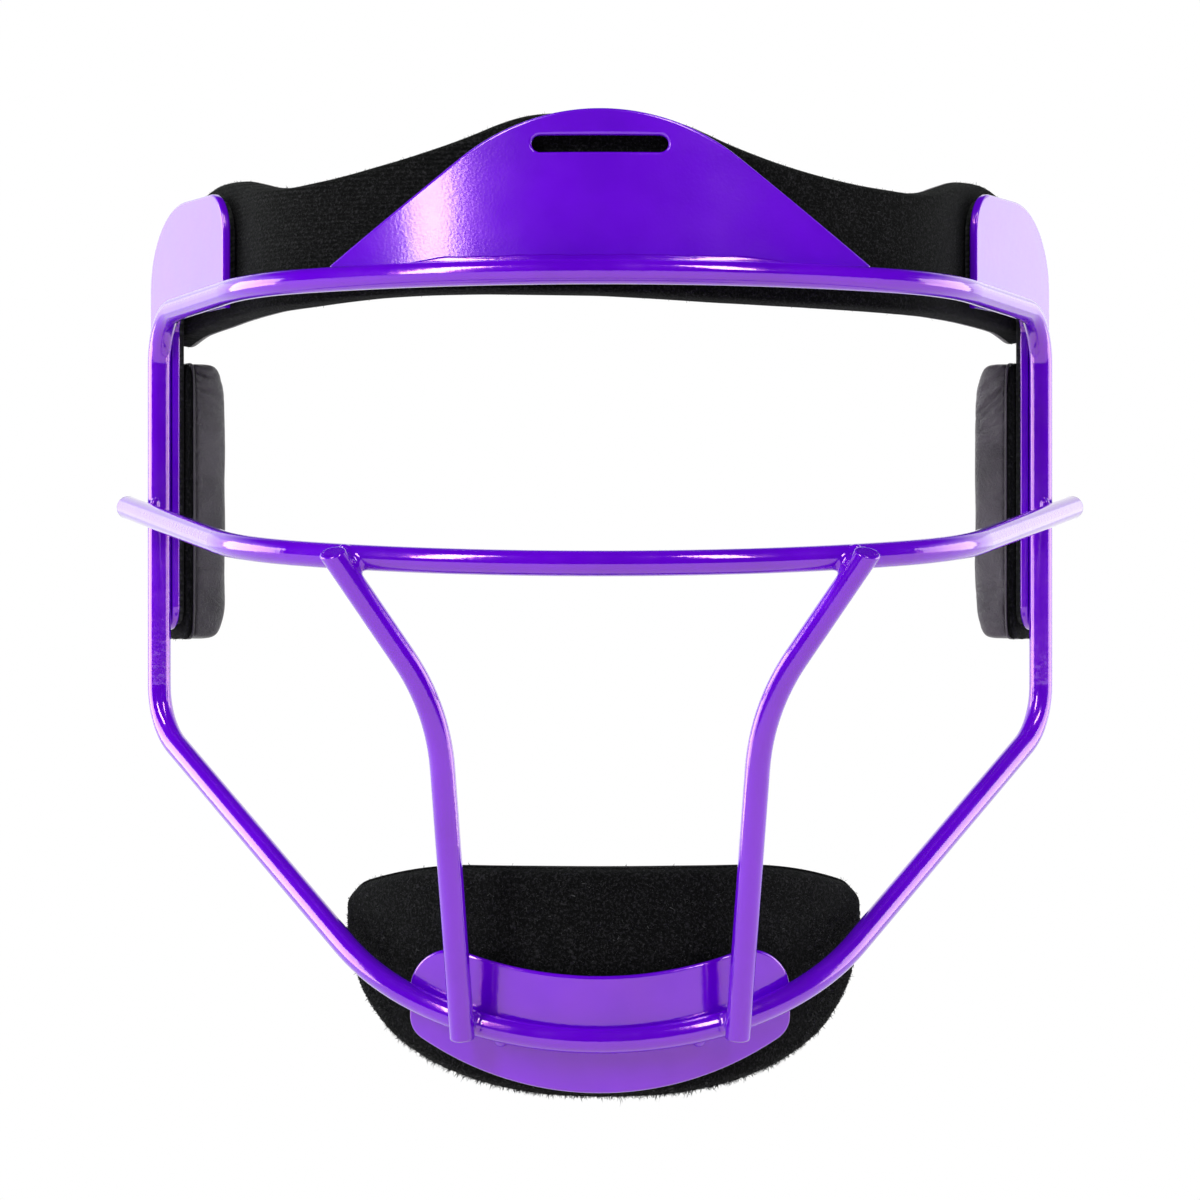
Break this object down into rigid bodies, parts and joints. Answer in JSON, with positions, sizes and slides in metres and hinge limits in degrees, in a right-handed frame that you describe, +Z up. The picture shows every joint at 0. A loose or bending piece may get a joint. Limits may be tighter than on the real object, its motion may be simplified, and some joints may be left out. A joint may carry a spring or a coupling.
{
  "type": "softball face guard",
  "caption": "Open-faced wire cage for the face with a brow plate, temple plates and a chin plate, and pads at the forehead, cheeks and chin.",
  "frame": {"origin": "on the mid-plane, level front to back with the side wires and half way up the cheek pads, where the wearer's head sits", "axes": "+X to the wearer's left, along the longest extent; -Y to the front, away from the face; +Z up"},
  "size_m": [0.2104, 0.1292, 0.1973],
  "materials": {
    "cage": "glossy purple powder coat over steel wire and sheet",
    "hook_tape": "black hook tape",
    "loop_cloth": "black brushed loop cloth",
    "foam": "dark closed-cell foam",
    "lining": "dark grey soft synthetic leather"
  },
  "bodies": {
    "frame": {"brow_bar": "cage", "left_side_wire": "cage", "right_side_wire": "cage", "chin_bar": "cage", "cheek_bar": "cage", "left_nose_bar": "cage", "right_nose_bar": "cage", "brow_plate": "cage", "left_temple_plate": "cage", "right_temple_plate": "cage", "chin_plate": "cage", "wire_welds": "cage", "plate_welds": "cage", "brow_weld": "cage", "brow_hook_strip": "hook_tape", "left_hook_strip": "hook_tape", "right_hook_strip": "hook_tape", "chin_hook_strip": "hook_tape"},
    "forehead_pad": {"forehead_pad_facing": "loop_cloth", "forehead_pad_foam": "foam", "forehead_pad_lining": "lining"},
    "left_cheek_pad": {"left_cheek_facing": "loop_cloth", "left_cheek_foam": "foam", "left_cheek_lining": "lining"},
    "right_cheek_pad": {"right_cheek_facing": "loop_cloth", "right_cheek_foam": "foam", "right_cheek_lining": "lining"},
    "chin_pad": {"chin_pad_facing": "loop_cloth", "chin_pad_foam": "foam", "chin_pad_lining": "lining"}
  },
  "joints": [
    {"name": "forehead_pad_peel", "type": "slide", "parent": "frame", "child": "forehead_pad", "axis": [0, 1, 0], "range_m": [0, 0.11]},
    {"name": "left_cheek_pad_peel", "type": "slide", "parent": "frame", "child": "left_cheek_pad", "axis": [-0.9171, 0.3987, 0], "range_m": [0, 0.03]},
    {"name": "right_cheek_pad_peel", "type": "slide", "parent": "frame", "child": "right_cheek_pad", "axis": [0.9171, 0.3987, 0], "range_m": [0, 0.03]},
    {"name": "chin_pad_peel", "type": "slide", "parent": "frame", "child": "chin_pad", "axis": [0, 1, 0], "range_m": [0, 0.08]}
  ]
}
